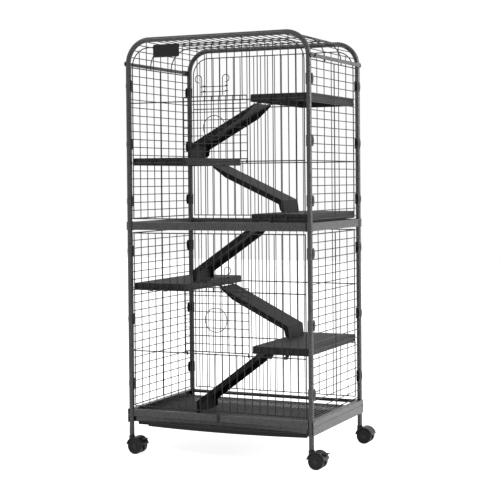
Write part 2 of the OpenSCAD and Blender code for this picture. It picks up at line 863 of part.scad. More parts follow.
module tray() {
    rear_y = py - back_rail_d - 4;
    front_y = front_rail_t / 2 + 3;
    shelf_z = tray_low + tray_wall;
    upright_h = base_top - front_rail_h - seat - tray_low;
    color(plastic_colour) placed() {
        difference() {
            translate([-tray_x, front_y, tray_low]) linear_extrude(tray_h)
                rounded(2 * tray_x, rear_y - front_y, 6);
            translate([-tray_x + tray_wall, front_y + tray_wall, shelf_z]) linear_extrude(tray_h)
                rounded(2 * (tray_x - tray_wall), rear_y - front_y - 2 * tray_wall, 4);
        }
        // shelf under the front rail, bowed out in front of it, with a lip round its edge
        difference() {
            translate([0, 0, shelf_z - tray_lip]) linear_extrude(tray_lip) bow(0, front_y + 1);
            translate([0, 0, tray_low - tray_lip - 1]) linear_extrude(tray_lip + 1)
                bow(tray_wall, front_y + 2);
        }
        translate([-tray_x + 20, 1, tray_low + 1]) cube([2 * (tray_x - 20), tray_wall, upright_h - 1]);
    }
}

// ---- casters ----

// Plastic plug in the foot of a post, bored for the caster's stem.
module post_plugs() {
    bore = tube_d - 2 * tube_wall;
    color(plastic_colour) placed() for (s = [-1, 1], y = [0, py]) translate([s * px, y, 0])
        difference() {
            union() {
                translate([0, 0, post_foot]) cylinder(d = bore - 2 * slip, h = 22);
                translate([0, 0, post_foot - 1.8]) cylinder(d = tube_d, h = 1.8 - slip);
                translate([0, 0, post_foot - 1]) cylinder(d = bore - 2 * slip, h = 2);
            }
            translate([0, 0, post_foot - 3]) cylinder(d = stem_d + 2 * fit, h = 30);
        }
}

module caster_stems() {
    color(bolt_colour) placed() for (s = [-1, 1], y = [0, py])
        translate([s * px, y, stem_low + seat]) cylinder(d = stem_d, h = post_foot + 20 - stem_low);
}

// Housing with its axle, in the stem's own frame; a braked one has lugs for the pedal.
module caster_housing(braked) {
    lug_d = 7;
    web_low = wheel_r - 7;
    difference() {
        union() {
            intersection() {
                translate([trail, caster_w / 2, wheel_r]) rotate([90, 0, 0])
                    cylinder(r = hood_r, h = caster_w);
                translate([-hood_r, -caster_w / 2, wheel_r + 5])
                    cube([3 * hood_r, caster_w, housing_top - wheel_r - 5]);
            }
            intersection() {
                translate([trail, web_t / 2, wheel_r]) rotate([90, 0, 0])
                    cylinder(r = hood_r, h = web_t);
                translate([-hood_r, -web_t / 2, web_low])
                    cube([3 * hood_r, web_t, housing_top - web_low]);
            }
            translate([0, 0, stem_low - 2]) cylinder(d = stem_d + 11, h = housing_top - stem_low + 2);
            if (braked) for (y = [-1, 1]) translate([pedal_x, y * (pedal_w / 2 + seat + 1.5), pedal_z])
                rotate([90, 0, 0]) cylinder(d = lug_d, h = 3, center = true);
        }
        for (y = [-1, 1]) translate([trail, y * (web_t / 2 + wheel_w), wheel_r]) rotate([90, 0, 0])
            cylinder(r = wheel_r + 1, h = 2 * wheel_w, center = true);
        translate([0, 0, stem_low]) cylinder(d = stem_d + 2 * run_fit, h = 40);
        translate([trail, 0, wheel_r]) rotate([90, 0, 0])
            cylinder(d = axle_d + 2 * fit, h = caster_w, center = true);
        if (braked) {
            translate([pedal_x - 5, -pedal_w / 2 - seat, pedal_z - 7])
                cube([30, pedal_w + 2 * seat, 30]);
            translate([pedal_x, 0, pedal_z]) rotate([90, 0, 0])
                cylinder(d = pin_d + 2 * fit, h = 2 * pedal_w, center = true);
        }
    }
    translate([trail, 0, wheel_r]) rotate([90, 0, 0]) cylinder(d = axle_d, h = caster_w - 3, center = true);
    if (braked) translate([pedal_x, 0, pedal_z]) rotate([90, 0, 0])
        cylinder(d = pin_d, h = pedal_w + 2 * seat + 6, center = true);
}

module caster(s, y, braked) {
    color(plastic_colour) placed() translate([s * px, y, 0]) caster_housing(braked);
}

module caster_front_left() {
    caster(-1, 0, true);
}
module caster_front_right() {
    caster(1, 0, true);
}
module caster_back_left() {
    caster(-1, py, false);
}
module caster_back_right() {
    caster(1, py, false);
}

// A pair of wheels: tread with rounded edges, a dished outer face and a hub.
module wheel_pair(s, y) {
    hub = axle_d / 2 + run_fit;
    edge = 2;
    dish = 2.5;
    profile = [
        [hub, 0], [wheel_r - edge, 0], [wheel_r, edge], [wheel_r, wheel_w - edge],
        [wheel_r - edge, wheel_w], [wheel_r - 6, wheel_w], [wheel_r - 8, wheel_w - dish],
        [hub + 5, wheel_w - dish], [hub + 4, wheel_w - 1], [hub, wheel_w - 1]
    ];
    color(plastic_colour) placed() translate([s * px + trail, y, wheel_r])
        for (e = [0, 1]) mirror([0, e, 0]) translate([0, web_t / 2 + 0.4, 0]) rotate([-90, 0, 0])
            rotate_extrude($fn = 72) polygon(profile);
}

module wheels_front_left() {
    wheel_pair(-1, 0);
}
module wheels_front_right() {
    wheel_pair(1, 0);
}
module wheels_back_left() {
    wheel_pair(-1, py);
}
module wheels_back_right() {
    wheel_pair(1, py);
}

// Brake pedal: a barrel on its pin and a plate that points away from the stem.
module pedal(s) {
    barrel_d = pin_d + 2.4;
    color(plastic_colour) placed() translate([s * px + pedal_x, 0, pedal_z]) difference() {
        union() {
            rotate([90, 0, 0]) cylinder(d = barrel_d, h = pedal_w, center = true);
            rotate([0, -pedal_rise, 0]) translate([pin_d / 2 + 0.5, 0.5 - pedal_w / 2, pedal_lift - pedal_t / 2])
                cube([pedal_len - pin_d / 2 - 0.5, pedal_w - 1, pedal_t]);
        }
        rotate([90, 0, 0]) cylinder(d = pin_d + 2 * run_fit, h = 2 * pedal_w, center = true);
    }
}

module pedal_left() {
    pedal(-1);
}
module pedal_right() {
    pedal(1);
}

front_arch();
back_arch();
front_left_post();
front_right_post();
back_left_post();
back_right_post();
mid_collars();
left_top_rail();
right_top_rail();
mid_front_bar();
mid_back_bar();
mid_left_bar();
mid_right_bar();
base_front_rail();
base_left_rail();
base_right_rail();
base_back_upper_rail();
base_back_lower_rail();
roof_panel();
left_upper_panel();
right_upper_panel();
left_lower_panel();
right_lower_panel();
back_upper_panel();
back_lower_panel();
front_upper_panel();
front_lower_panel();
upper_door();
lower_door();
upper_latch();
lower_latch();
platform_1();
platform_2();
platform_3();
platform_4();
platform_5();
ramp_1();
ramp_2();
ramp_3();
ramp_4();
ramp_5();
panel_clips();
platform_hooks();
frame_bolts();
floor_grate();
tray();
post_plugs();
caster_stems();
caster_front_left();
caster_front_right();
caster_back_left();
caster_back_right();
wheels_front_left();
wheels_front_right();
wheels_back_left();
wheels_back_right();
pedal_left();
pedal_right();
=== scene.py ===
"""Looks of the ferret cage: bent tube frame, welded wire panels, drop-down doors with lift latches,
five lipped platforms joined by ramps, a pull-out tray and four casters. Metres, in the CAD's frame."""

import bmesh
import bpy
import numpy as np
from mathutils import Matrix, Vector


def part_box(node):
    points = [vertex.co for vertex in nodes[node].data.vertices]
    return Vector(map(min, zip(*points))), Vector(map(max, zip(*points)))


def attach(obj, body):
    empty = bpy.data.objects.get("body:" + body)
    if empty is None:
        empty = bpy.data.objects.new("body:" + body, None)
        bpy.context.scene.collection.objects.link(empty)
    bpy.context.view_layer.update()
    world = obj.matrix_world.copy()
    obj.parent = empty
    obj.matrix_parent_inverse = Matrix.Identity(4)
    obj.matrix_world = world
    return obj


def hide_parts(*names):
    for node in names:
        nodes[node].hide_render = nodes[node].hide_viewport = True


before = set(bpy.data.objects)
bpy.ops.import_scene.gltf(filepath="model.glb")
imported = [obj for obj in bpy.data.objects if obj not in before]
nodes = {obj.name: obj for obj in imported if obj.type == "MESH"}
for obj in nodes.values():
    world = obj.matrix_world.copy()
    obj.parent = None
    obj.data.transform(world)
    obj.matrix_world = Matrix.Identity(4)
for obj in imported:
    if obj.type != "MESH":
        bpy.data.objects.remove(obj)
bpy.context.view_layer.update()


# Frame: two arches of bent steel tube on four posts, sleeves and box-section bars at the middle, flat-ended side
# rails and the folded base rails. Steel, sprayed with a dark grey hammered paint that dries in shallow dimples a
# few millimetres across, with fine dust on what faces up. The paint's colour is painted darker in each dimple's
# hollow, a painted shade.

def new_group(name, ins, outs):
    """An empty shader node group with named sockets: ins are (name, kind, value), outs are (name, kind)."""
    g = bpy.data.node_groups.new(name, "ShaderNodeTree")
    for key, kind, value in ins:
        g.interface.new_socket(key, in_out="INPUT", socket_type="NodeSocket" + kind).default_value = value
    for key, kind in outs:
        g.interface.new_socket(key, in_out="OUTPUT", socket_type="NodeSocket" + kind)
    return g, g.nodes.new("NodeGroupInput").outputs, g.nodes.new("NodeGroupOutput").inputs


def add_math(tree, operation, *values):
    """A Math node whose inputs are the given numbers or sockets, in order; gives its output socket."""
    node = tree.nodes.new("ShaderNodeMath")
    node.operation = operation
    for socket, value in zip(node.inputs, values):
        if isinstance(value, (int, float)):
            socket.default_value = value
        else:
            tree.links.new(value, socket)
    return node.outputs[0]


def hammered_group():
    """Dimples are the smooth distance to random cell centres, bent by noise. Colour is Colour times
    1 + Contrast * (dimple + 1.2 * cloud - 1.1), so each dimple's hollow is painted darker as painted shade, over the
    paint's own cloudy mottle; Roughness is Roughness plus 0.14 * cloud; Height is dimple * Depth plus 0.1 * grain."""
    g, given, out = new_group("hammered_paint", (
        ("Vector", "Vector", (0, 0, 0)), ("Colour", "Color", (0.06, 0.06, 0.06, 1)), ("Cells", "Float", 260.0),
        ("Contrast", "Float", 0.6), ("Roughness", "Float", 0.38), ("Depth", "Float", 0.3)),
        (("Colour", "Color"), ("Roughness", "Float"), ("Height", "Float")))
    cells, cloud, grain = (g.nodes.new("ShaderNodeTex" + kind) for kind in ("Voronoi", "Noise", "Noise"))
    cells.feature = "SMOOTH_F1"
    cells.inputs["Smoothness"].default_value = 0.5
    cloud.inputs["Scale"].default_value = 60
    cloud.inputs["Detail"].default_value = 4
    grain.inputs["Scale"].default_value = 1100
    bent = g.nodes.new("ShaderNodeVectorMath")
    bent.operation = "MULTIPLY_ADD"
    bent.inputs[1].default_value = (0.006, 0.006, 0.006)
    g.links.new(given["Vector"], bent.inputs[2])
    g.links.new(cloud.outputs["Color"], bent.inputs[0])
    g.links.new(bent.outputs[0], cells.inputs["Vector"])
    g.links.new(given["Cells"], cells.inputs["Scale"])
    for tex in (cloud, grain):
        g.links.new(given["Vector"], tex.inputs["Vector"])
    dimple = g.nodes.new("ShaderNodeMapRange")
    dimple.interpolation_type = "SMOOTHSTEP"
    dimple.inputs["From Min"].default_value = 0.12
    dimple.inputs["From Max"].default_value = 0.6
    g.links.new(cells.outputs["Distance"], dimple.inputs["Value"])
    # The dimple term paints each dimple's hollow darker, a painted shade; the cloud term is the paint's own mottle.
    mottle_and_dimple_shade = add_math(g, "ADD", dimple.outputs[0], add_math(g, "MULTIPLY_ADD", cloud.outputs["Fac"], 1.2, -1.1))
    tone = add_math(g, "MULTIPLY_ADD", mottle_and_dimple_shade, given["Contrast"], 1.0)
    paint = g.nodes.new("ShaderNodeVectorMath")
    paint.operation = "SCALE"
    g.links.new(given["Colour"], paint.inputs[0])
    g.links.new(tone, paint.inputs["Scale"])
    g.links.new(paint.outputs[0], out["Colour"])
    g.links.new(add_math(g, "MULTIPLY_ADD", cloud.outputs["Fac"], 0.14, given["Roughness"]), out["Roughness"])
    relief = add_math(g, "MULTIPLY", dimple.outputs[0], given["Depth"])
    g.links.new(add_math(g, "MULTIPLY_ADD", grain.outputs["Fac"], 0.1, relief), out["Height"])
    return g


def dust_group():
    """Mask is Amount times broad noise times how far the face looks up, from 0 at 45 degrees to 1 when level."""
    g, given, out = new_group("settled_dust", (("Vector", "Vector", (0, 0, 0)), ("Amount", "Float", 0.3)),
                              (("Mask", "Float"),))
    cloud, place = g.nodes.new("ShaderNodeTexNoise"), g.nodes.new("ShaderNodeNewGeometry")
    split, level = g.nodes.new("ShaderNodeSeparateXYZ"), g.nodes.new("ShaderNodeMapRange")
    cloud.inputs["Scale"].default_value = 22
    cloud.inputs["Detail"].default_value = 5
    level.inputs["From Min"].default_value = 0.7
    g.links.new(given["Vector"], cloud.inputs["Vector"])
    g.links.new(place.outputs["Normal"], split.inputs[0])
    g.links.new(split.outputs["Z"], level.inputs["Value"])
    lying = add_math(g, "MULTIPLY", level.outputs[0], cloud.outputs["Fac"])
    g.links.new(add_math(g, "MULTIPLY", lying, given["Amount"]), out["Mask"])
    return g


hammered, dust = hammered_group(), dust_group()


def painted(name, colour, roughness, depth, cells=260.0, contrast=0.6, bump=0.35, specular=0.5, coat=0.0,
            dusty=0.15):
    """A material: hammered_paint on Object coordinates, with settled_dust mixed over its colour and roughness."""
    m = bpy.data.materials.new(name)
    m.use_nodes = True
    t = m.node_tree
    shader, where = t.nodes["Principled BSDF"], t.nodes.new("ShaderNodeTexCoord")
    paint, settled, bumps, over = (t.nodes.new("ShaderNode" + kind) for kind in ("Group", "Group", "Bump", "MixRGB"))
    paint.node_tree, settled.node_tree = hammered, dust
    for key, value in (("Colour", (*colour, 1)), ("Cells", cells), ("Contrast", contrast), ("Roughness", roughness),
                       ("Depth", depth)):
        paint.inputs[key].default_value = value
    settled.inputs["Amount"].default_value = dusty
    bumps.inputs["Strength"].default_value = bump
    bumps.inputs["Distance"].default_value = 0.0006
    shader.inputs["Specular IOR Level"].default_value = specular
    shader.inputs["Coat Weight"].default_value = coat
    shader.inputs["Coat Roughness"].default_value = 0.12
    over.inputs["Color2"].default_value = (0.3, 0.29, 0.27, 1)
    for group in (paint, settled):
        t.links.new(where.outputs["Object"], group.inputs["Vector"])
    t.links.new(settled.outputs["Mask"], over.inputs["Fac"])
    t.links.new(paint.outputs["Colour"], over.inputs["Color1"])
    t.links.new(over.outputs["Color"], shader.inputs["Base Color"])
    t.links.new(add_math(t, "MULTIPLY_ADD", settled.outputs["Mask"], 0.5, paint.outputs["Roughness"]),
                shader.inputs["Roughness"])
    t.links.new(paint.outputs["Height"], bumps.inputs["Height"])
    t.links.new(bumps.outputs["Normal"], shader.inputs["Normal"])
    return m


def dress(names, material):
    """Each named CAD node takes the material on all its slots."""
    for name in names:
        data = nodes[name].data
        data.materials.clear()
        data.materials.append(material)


frame_paint = painted("frame_hammered_paint", (0.026, 0.0264, 0.0275), 0.3, 1.0, cells=230.0, contrast=1.7, bump=1.0,
                      specular=0.38, coat=0.2, dusty=0.1)
frame_names = [n for n in nodes if n.endswith(("_arch", "_post", "_rail", "_bar", "collars"))]
dress(frame_names, frame_paint)


def make_piece(name, shapes, material, body, smooth=True):
    """One object from a list of (corners, quads) arrays, joined, merged and turned outwards."""
    counts = np.cumsum([0] + [len(s[0]) for s in shapes])
    corners = np.concatenate([s[0] for s in shapes])
    faces = np.concatenate([s[1] + start for s, start in zip(shapes, counts)])
    mesh = bpy.data.meshes.new(name)
    mesh.from_pydata(corners.tolist(), [], faces.tolist())
    b = bmesh.new()
    b.from_mesh(mesh)
    bmesh.ops.remove_doubles(b, verts=b.verts, dist=1e-6)
    bmesh.ops.dissolve_degenerate(b, edges=b.edges, dist=1e-7)
    bmesh.ops.recalc_face_normals(b, faces=b.faces)
    b.to_mesh(mesh)
    b.free()
    mesh.polygons.foreach_set("use_smooth", np.full(len(mesh.polygons), smooth))
    mesh.materials.append(material)
    obj = bpy.data.objects.new(name, mesh)
    bpy.context.scene.collection.objects.link(obj)
    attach(obj, body)
    return obj


def grid_faces(rows, columns, wrap_rows=False):
    """Quads of a rows by columns grid of corners, closed round the columns, and round the rows if asked."""
    last = rows if wrap_rows else rows - 1
    r, c = np.meshgrid(np.arange(last), np.arange(columns), indexing="ij")
    r2, c2 = (r + 1) % rows, (c + 1) % columns
    return np.stack([r * columns + c, r * columns + c2, r2 * columns + c2, r2 * columns + c], -1).reshape(-1, 4)


def rounded_section(width, height, radius, steps=4):
    """A closed loop: a rectangle whose corners are arcs of the given radius, each in the given number of steps."""
    a = np.linspace(0, np.pi / 2, steps + 1)
    x, y = width / 2 - radius, height / 2 - radius
    arcs = [np.stack([sx * x + radius * np.cos(a + q), sy * y + radius * np.sin(a + q)], 1)
            for sx, sy, q in ((1, 1, 0), (-1, 1, np.pi / 2), (-1, -1, np.pi), (1, -1, 1.5 * np.pi))]
    return np.concatenate(arcs)


def sweep(line, across, section, closed=False):
    """Section carried along line. Its first coordinate lies along across, its second along tangent x across. Each
    flat end is closed by quads between corner i and corner m - 1 - i of its loop."""
    line, m = np.asarray(line, float), len(section)
    along = np.roll(line, -1, 0) - np.roll(line, 1, 0) if closed else np.gradient(line, axis=0)
    up = np.cross(along, across)
    up /= np.linalg.norm(up, axis=1)[:, None]
    rings = line[:, None] + section[None, :, :1] * np.asarray(across, float) + section[None, :, 1:] * up[:, None]
    faces = grid_faces(len(line), m, closed)
    if not closed:
        k = np.arange(m // 2 - 1)
        cap = np.stack([k, k + 1, m - 2 - k, m - 1 - k], 1)
        faces = np.concatenate([faces, cap, cap + m * (len(line) - 1)])
    return rings.reshape(-1, 3), faces


# Middle bars and front rail: box-section steel tube with rounded corners, cut square and welded to the sleeves and
# posts with a bead all round. The two back rails are round tube. All carry the frame's paint.

bar_axes = {"mid_front_bar": 0, "mid_back_bar": 0, "mid_left_bar": 1, "mid_right_bar": 1, "base_front_rail": 0,
            "base_back_upper_rail": 0, "base_back_lower_rail": 0}
round_rails = {"base_back_upper_rail": 0.006, "base_back_lower_rail": 0.005}
node_rail_r, box_corner = 0.005, 0.0025
bars = []
for name, axis in bar_axes.items():
    low, high = np.array(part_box(name))
    ends = np.tile((low + high) / 2, (2, 1))
    ends[0, axis], ends[1, axis] = low[axis], high[axis]
    section = rounded_section(*(high - low)[[1 - axis, 2]], box_corner, 5)
    if name in round_rails:
        r = round_rails[name]
        ends[:, 2] -= r - node_rail_r
        section = rounded_section(2 * r, 2 * r, r - 0.00001, 8)
    bars.append(sweep(ends, np.eye(3)[1 - axis], section))
rounded_bars = make_piece("rounded_bars", bars, frame_paint, "cage", smooth=False)
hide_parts(*bar_axes)


def superellipse(half, a, power):
    """The points at angles a of the closed line |u / half u|^power + |v / half v|^power = 1, as u and v."""
    return [size * np.sign(part) * np.abs(part) ** (2 / power) for size, part in zip(half, (np.cos(a), np.sin(a)))]


def weld_bead(centre, half, normal_axis, radius=0.0011, points=96, power=7.0):
    """A closed bead round a bar's end. Its line is a superellipse in the plane across normal_axis, and its radius
    ripples by a fifth, one ripple for each drop of weld."""
    a = np.linspace(0, 2 * np.pi, points, endpoint=False)
    line = np.stack(superellipse(half, a, power), 1)
    along = np.roll(line, -1, 0) - np.roll(line, 1, 0)
    side = np.stack([along[:, 1], -along[:, 0]], 1) / np.linalg.norm(along, axis=1)[:, None]
    thick = radius * (0.9 + 0.2 * np.abs(np.sin(a * points / 8)))
    b = np.linspace(0, 2 * np.pi, 8, endpoint=False)
    flat = line[:, None] + side[:, None] * (thick[:, None] * np.cos(b))[..., None]
    rise = thick[:, None] * np.sin(b)
    rest = [k for k in range(3) if k != normal_axis]
    corners = np.zeros((points, 8, 3))
    corners[..., rest[0]], corners[..., rest[1]], corners[..., normal_axis] = flat[..., 0], flat[..., 1], rise
    return corners.reshape(-1, 3) + centre, grid_faces(points, 8, True)


beads = []
for name, axis in bar_axes.items():
    low, high = np.array(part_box(name))
    half = np.delete((high - low) / 2, axis) + 0.0003
    for end, inward in ((low, 1), (high, -1)):
        centre = (low + high) / 2
        centre[axis] = end[axis] + inward * 0.0009
        beads.append(weld_bead(centre, half, axis, power=2.0 if name in round_rails else 7.0))
make_piece("frame_weld_beads", beads, frame_paint, "cage")


# Bolts: button heads of zinc-plated steel with a hexagon socket, turned home on the frame's own bolts. They hold the
# ends of the top and base side rails, and one closes the front middle bar.

def solid_boxes(name):
    """Lowest and highest corners of each separate solid of a CAD node. Triangles that share a corner take the
    smaller of their labels until nothing changes; a solid's box spans the corners of one label."""
    mesh = nodes[name].data
    place = np.empty(len(mesh.vertices) * 3)
    mesh.vertices.foreach_get("co", place)
    place = place.reshape(-1, 3)
    mesh.calc_loop_triangles()
    ids = np.empty(len(mesh.loop_triangles) * 3, int)
    mesh.loop_triangles.foreach_get("vertices", ids)
    corners, same = np.unique(np.round(place, 7), axis=0, return_inverse=True)
    triangles = same.reshape(-1)[ids].reshape(-1, 3)
    label = np.arange(len(corners))
    while True:
        new = label.copy()
        np.minimum.at(new, triangles.reshape(-1), np.repeat(label[triangles].min(1), 3))
        new = new[new]
        if (new == label).all():
            break
        label = new
    kinds, group = np.unique(label, return_inverse=True)
    low, high = np.full((len(kinds), 3), np.inf), np.full((len(kinds), 3), -np.inf)
    np.minimum.at(low, group.reshape(-1), corners)
    np.maximum.at(high, group.reshape(-1), corners)
    return low, high


def button_head(seat, axis, sign, radius, height):
    """A head and its socket as rings round the axis. A ring's radius is r times (1 - h + h * hexagon(angle)),
    where hexagon(angle) = cos 30 / cos(angle mod 60 - 30); the rings step over the dome and down into the socket."""
    a = np.linspace(0, 2 * np.pi, 48, endpoint=False)
    hexagon = np.cos(np.pi / 6) / np.cos(a % (np.pi / 3) - np.pi / 6)
    rings = np.array([(0, 0, 0), (1.0, 0, 0), (1.0, 0.22, 0), (0.94, 0.5, 0), (0.8, 0.78, 0), (0.6, 0.96, 0),
                      (0.5, 1.0, 0.5), (0.44, 1.0, 1), (0.42, 0.94, 1), (0.42, 0.45, 1), (0, 0.4, 1)])
    r = radius * rings[:, 0, None] * (1 - rings[:, 2, None] + rings[:, 2, None] * hexagon)
    rest = [k for k in range(3) if k != axis]
    corners = np.zeros((len(rings), len(a), 3))
    corners[..., rest[0]], corners[..., rest[1]] = r * np.cos(a), r * np.sin(a)
    corners[..., axis] = sign * height * rings[:, 1, None]
    return corners.reshape(-1, 3) + seat, grid_faces(len(rings), len(a))


bolt_steel = painted("bolt_zinc", (0.2, 0.2, 0.205), 0.24, 0.15, cells=700.0, contrast=0.3, bump=0.1)
head_r, head_h, shank_out = 0.0039, 0.0019, 0.002
heads = []
for low, high in zip(*solid_boxes("frame_bolts")):
    axis = int(np.argmax(high - low))
    middle = (low + high) / 2
    sign = 1 if middle[axis] > 0 else -1
    seat = middle.copy()
    seat[axis] = (high if sign > 0 else low)[axis] - sign * shank_out
    heads.append(button_head(seat, axis, sign, head_r, head_h))
bolts = make_piece("bolt_heads", heads, bolt_steel, "cage", smooth=False)
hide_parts("frame_bolts")


# Wire panels: round steel wires laid across each other and spot welded, then dipped in a dark coating that fills
# the corners of each weld. A weld is a small round lump where two wires touch.

circle = np.linspace(0, 2 * np.pi, 10, endpoint=False)
round_section = np.stack([np.cos(circle), np.sin(circle)], 1)

wire_coat = painted("coated_wire", (0.01, 0.0102, 0.011), 0.38, 0.25, cells=500.0, contrast=0.35, bump=0.2,
                    specular=0.3, dusty=0.06)
panel_names = [n for n in nodes if n.endswith("_panel")]
dress(panel_names + ["upper_door", "lower_door", "upper_latch", "lower_latch"], wire_coat)
# The floor grate is the same dark coated wire as the panels, painted lighter (0.07 against 0.01) as a painted
# highlight for the light its wires catch; its welds take the same.
grate_painted_highlight = painted("grate_wire_painted_highlight", (0.07, 0.071, 0.074), 0.26, 0.25, cells=500.0, contrast=0.35, bump=0.2, dusty=0.1)
dress(["floor_grate"], grate_painted_highlight)


def weld_places(low, high, near=0.0007, thickest=0.0042):
    """Where straight wires of one node touch. A wire is a solid with two sides under thickest. Two wires along
    different axes meet if their boxes, grown by near, overlap; the weld sits in the middle of that overlap."""
    size = high - low
    straight = np.sort(size, axis=1)[:, 1] < thickest
    low, high, size = low[straight], high[straight], size[straight]
    axis = size.argmax(1)
    over_low = np.maximum(low[:, None], low[None]) - near
    over_high = np.minimum(high[:, None], high[None]) + near
    meet = (over_high > over_low).all(2) & (axis[:, None] < axis[None])
    first, second = np.nonzero(meet)
    thin = np.minimum(np.sort(size, axis=1)[first, 0], np.sort(size, axis=1)[second, 0])
    return (over_low[meet] + over_high[meet]) / 2, thin / 2


def weld_lumps(places, radii, swell=1.22):
    """A ball at each place, of six columns and three rings, swell times the thinner wire's radius."""
    a = np.linspace(0, 2 * np.pi, 6, endpoint=False)
    b = np.linspace(0, np.pi, 5)
    ball = np.stack([np.sin(b)[:, None] * np.cos(a), np.sin(b)[:, None] * np.sin(a),
                     np.repeat(np.cos(b)[:, None], 6, 1)], -1).reshape(-1, 3)
    corners = places[:, None] + ball[None] * (radii * swell)[:, None, None]
    starts = np.arange(len(places))[:, None, None] * len(ball)
    return corners.reshape(-1, 3), (grid_faces(5, 6)[None] + starts).reshape(-1, 4)


for name in panel_names + ["upper_door", "lower_door", "floor_grate"]:
    places, radii = weld_places(*solid_boxes(name))
    body = name if "door" in name else "cage"
    if len(places) and name != "roof_panel":
        make_piece(name + "_welds", [weld_lumps(places, radii)], grate_painted_highlight if name == "floor_grate" else wire_coat,
                   body)


# Roof: straight wires from arch to arch, spaced evenly over the flat and round both bends, on two bent cross wires at
# thirds of the depth. The same coated steel, welded where they cross.

tube_r, arch_r, pitch, along_r, cross_r = 0.008, 0.075, 0.0254, 0.0014, 0.00175
post_low, post_high = np.array(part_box("front_left_post"))
half_x = (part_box("front_right_post")[1][0] - post_high[0]) / 2
centre_x = (post_low[0] + post_high[0]) / 2 + half_x
front_y = (post_low[1] + post_high[1]) / 2
back_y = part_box("back_left_post")[0][1] + (post_high[1] - post_low[1]) / 2
arch_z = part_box("front_arch")[1][2] - tube_r
flat_x, bend_z = half_x - arch_r, arch_z - arch_r
columns = 2 * round(flat_x / pitch)
turns = round(arch_r * np.pi / 2 / pitch)
lean = np.pi / 2 * (1 - np.arange(1, turns + 1) / turns)
roof_x = np.concatenate([np.linspace(-flat_x, flat_x, columns + 1), flat_x + arch_r * np.cos(lean),
                         -flat_x - arch_r * np.cos(lean)])
roof_z = arch_z + np.concatenate([np.zeros(columns + 1), *[arch_r * (np.sin(lean) - 1)] * 2])
roof_y = front_y + tube_r + 0.0001, back_y - tube_r - 0.0001
roof = [sweep([(centre_x + x, y, z) for y in roof_y], (0, 0, 1), round_section * along_r)
        for x, z in zip(roof_x, roof_z)]
bend = np.linspace(0, np.pi / 2, 13)
under_r = arch_r - along_r - cross_r - 0.00005
leg_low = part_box("roof_panel")[0][2]
curve = np.stack([flat_x + under_r * np.cos(bend), bend_z + under_r * np.sin(bend)], 1)
cross_line = np.concatenate([[(curve[0, 0], leg_low)], curve, curve[::-1] * (-1, 1), [(-curve[0, 0], leg_low)]])
roof_lumps = []
for y in (front_y + (back_y - front_y) / 3, front_y + (back_y - front_y) * 2 / 3):
    line = np.column_stack([centre_x + cross_line[:, 0], np.full(len(cross_line), y), cross_line[:, 1]])
    roof.append(sweep(line, (0, 1, 0), round_section * cross_r))
    places = np.column_stack([roof_x, np.full(len(roof_x), y), roof_z])
    axes = np.column_stack([np.clip(roof_x, -flat_x, flat_x), np.full(len(roof_x), y), np.full(len(roof_x), bend_z)])
    places -= 0.0015 * (places - axes) / arch_r
    roof_lumps.append(weld_lumps(places + (centre_x, 0, 0), np.full(len(roof_x), along_r)))
roof_wires = make_piece("roof_wires", roof + roof_lumps, wire_coat, "cage")
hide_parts("roof_panel")


# Latches: each is bent from one gauge of wire. Two uprights end in open finger loops, two cross wires are welded
# behind them, and their eyes ride on two uprights of the front panel.

upright_pitch = 2 * (half_x - 0.015) / 23
latch_r, ear_r, ear_rise, eye_r, lap = 0.00125, 0.01125, 0.041, 0.00295, 0.00255
latch_uprights, cross_ends, cross_rises = (-0.043, 0.029), (-0.0502, 0.0412), (0.012, 0.028)
ear_turn = np.linspace(0, np.radians(280), 40)
eye_turn = np.linspace(0, 2 * np.pi, 28, endpoint=False)
for level in ("upper", "lower"):
    low_corner = np.array(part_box(level + "_latch")[0])
    low_z, wire_y = low_corner[2], low_corner[1] + latch_r
    wires = []
    for sign, x in zip((-1, 1), latch_uprights):
        loop = np.column_stack([centre_x + x + sign * ear_r * (1 - np.cos(ear_turn)), np.full(len(ear_turn), wire_y),
                                low_z + ear_rise + ear_r + ear_r * np.sin(ear_turn)])
        line = np.concatenate([[(centre_x + x, wire_y, low_z)], loop])
        wires.append(sweep(line, (0, 1, 0), round_section * latch_r))
    for z in (low_z + cross_rises[0], low_z + cross_rises[1]):
        ends = [(centre_x + x, wire_y + lap, z) for x in cross_ends]
        wires.append(sweep(ends, (0, 0, 1), round_section * latch_r))
        for x in (centre_x - 1.5 * upright_pitch, centre_x + 1.5 * upright_pitch):
            eye = np.column_stack([x + eye_r * np.cos(eye_turn), front_y + eye_r * np.sin(eye_turn),
                                   np.full(len(eye_turn), z + lap)])
            stem = [(x, wire_y, z + lap), (x, front_y - 0.0038, z + lap)]
            wires.append(sweep(eye, (0, 0, 1), round_section * latch_r, closed=True))
            wires.append(sweep(stem, (0, 0, 1), round_section * latch_r))
    latch_welds = np.array([(centre_x + x, wire_y + 0.0013, low_z + rise)
                            for rise in cross_rises for x in latch_uprights])
    wires.append(weld_lumps(latch_welds, np.full(len(latch_welds), latch_r)))
    latch = make_piece(level + "_latch_wires", wires, wire_coat, level + "_latch")
    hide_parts(level + "_latch")


# Plate: a bare pressed plate of black-painted sheet steel with a raised rim. Two bent strips hook it over the top
# wire of the front panel, at the left.

def plate_shape(centre, half, thick=0.0012, rim=0.0007, power=14):
    """Rings round the plate: each is a superellipse pulled in by an inset, with its own depth along Y: the back,
    the edge, the raised rim, the step down, and the flat field to the middle."""
    a = np.linspace(0, 2 * np.pi, 120, endpoint=False)
    rings = np.array([(1, 0), (0.0006, 0), (0, 0.3), (0, 1.0), (0.0005, 1.5), (0.0022, 1.6), (0.003, 1.2),
                      (0.0036, 1.0), (1, 1.0)])
    field = rings[:, 0] == 1
    x, z = superellipse([np.where(field, 0, size - rings[:, 0])[:, None] for size in half], a, power)
    y = -np.where(rings[:, 1] > 1, thick + (rings[:, 1] - 1) * rim, thick * rings[:, 1])
    corners = np.stack([x, np.repeat(y[:, None], len(a), 1), z], -1)
    return corners.reshape(-1, 3) + centre, grid_faces(len(rings), len(a))


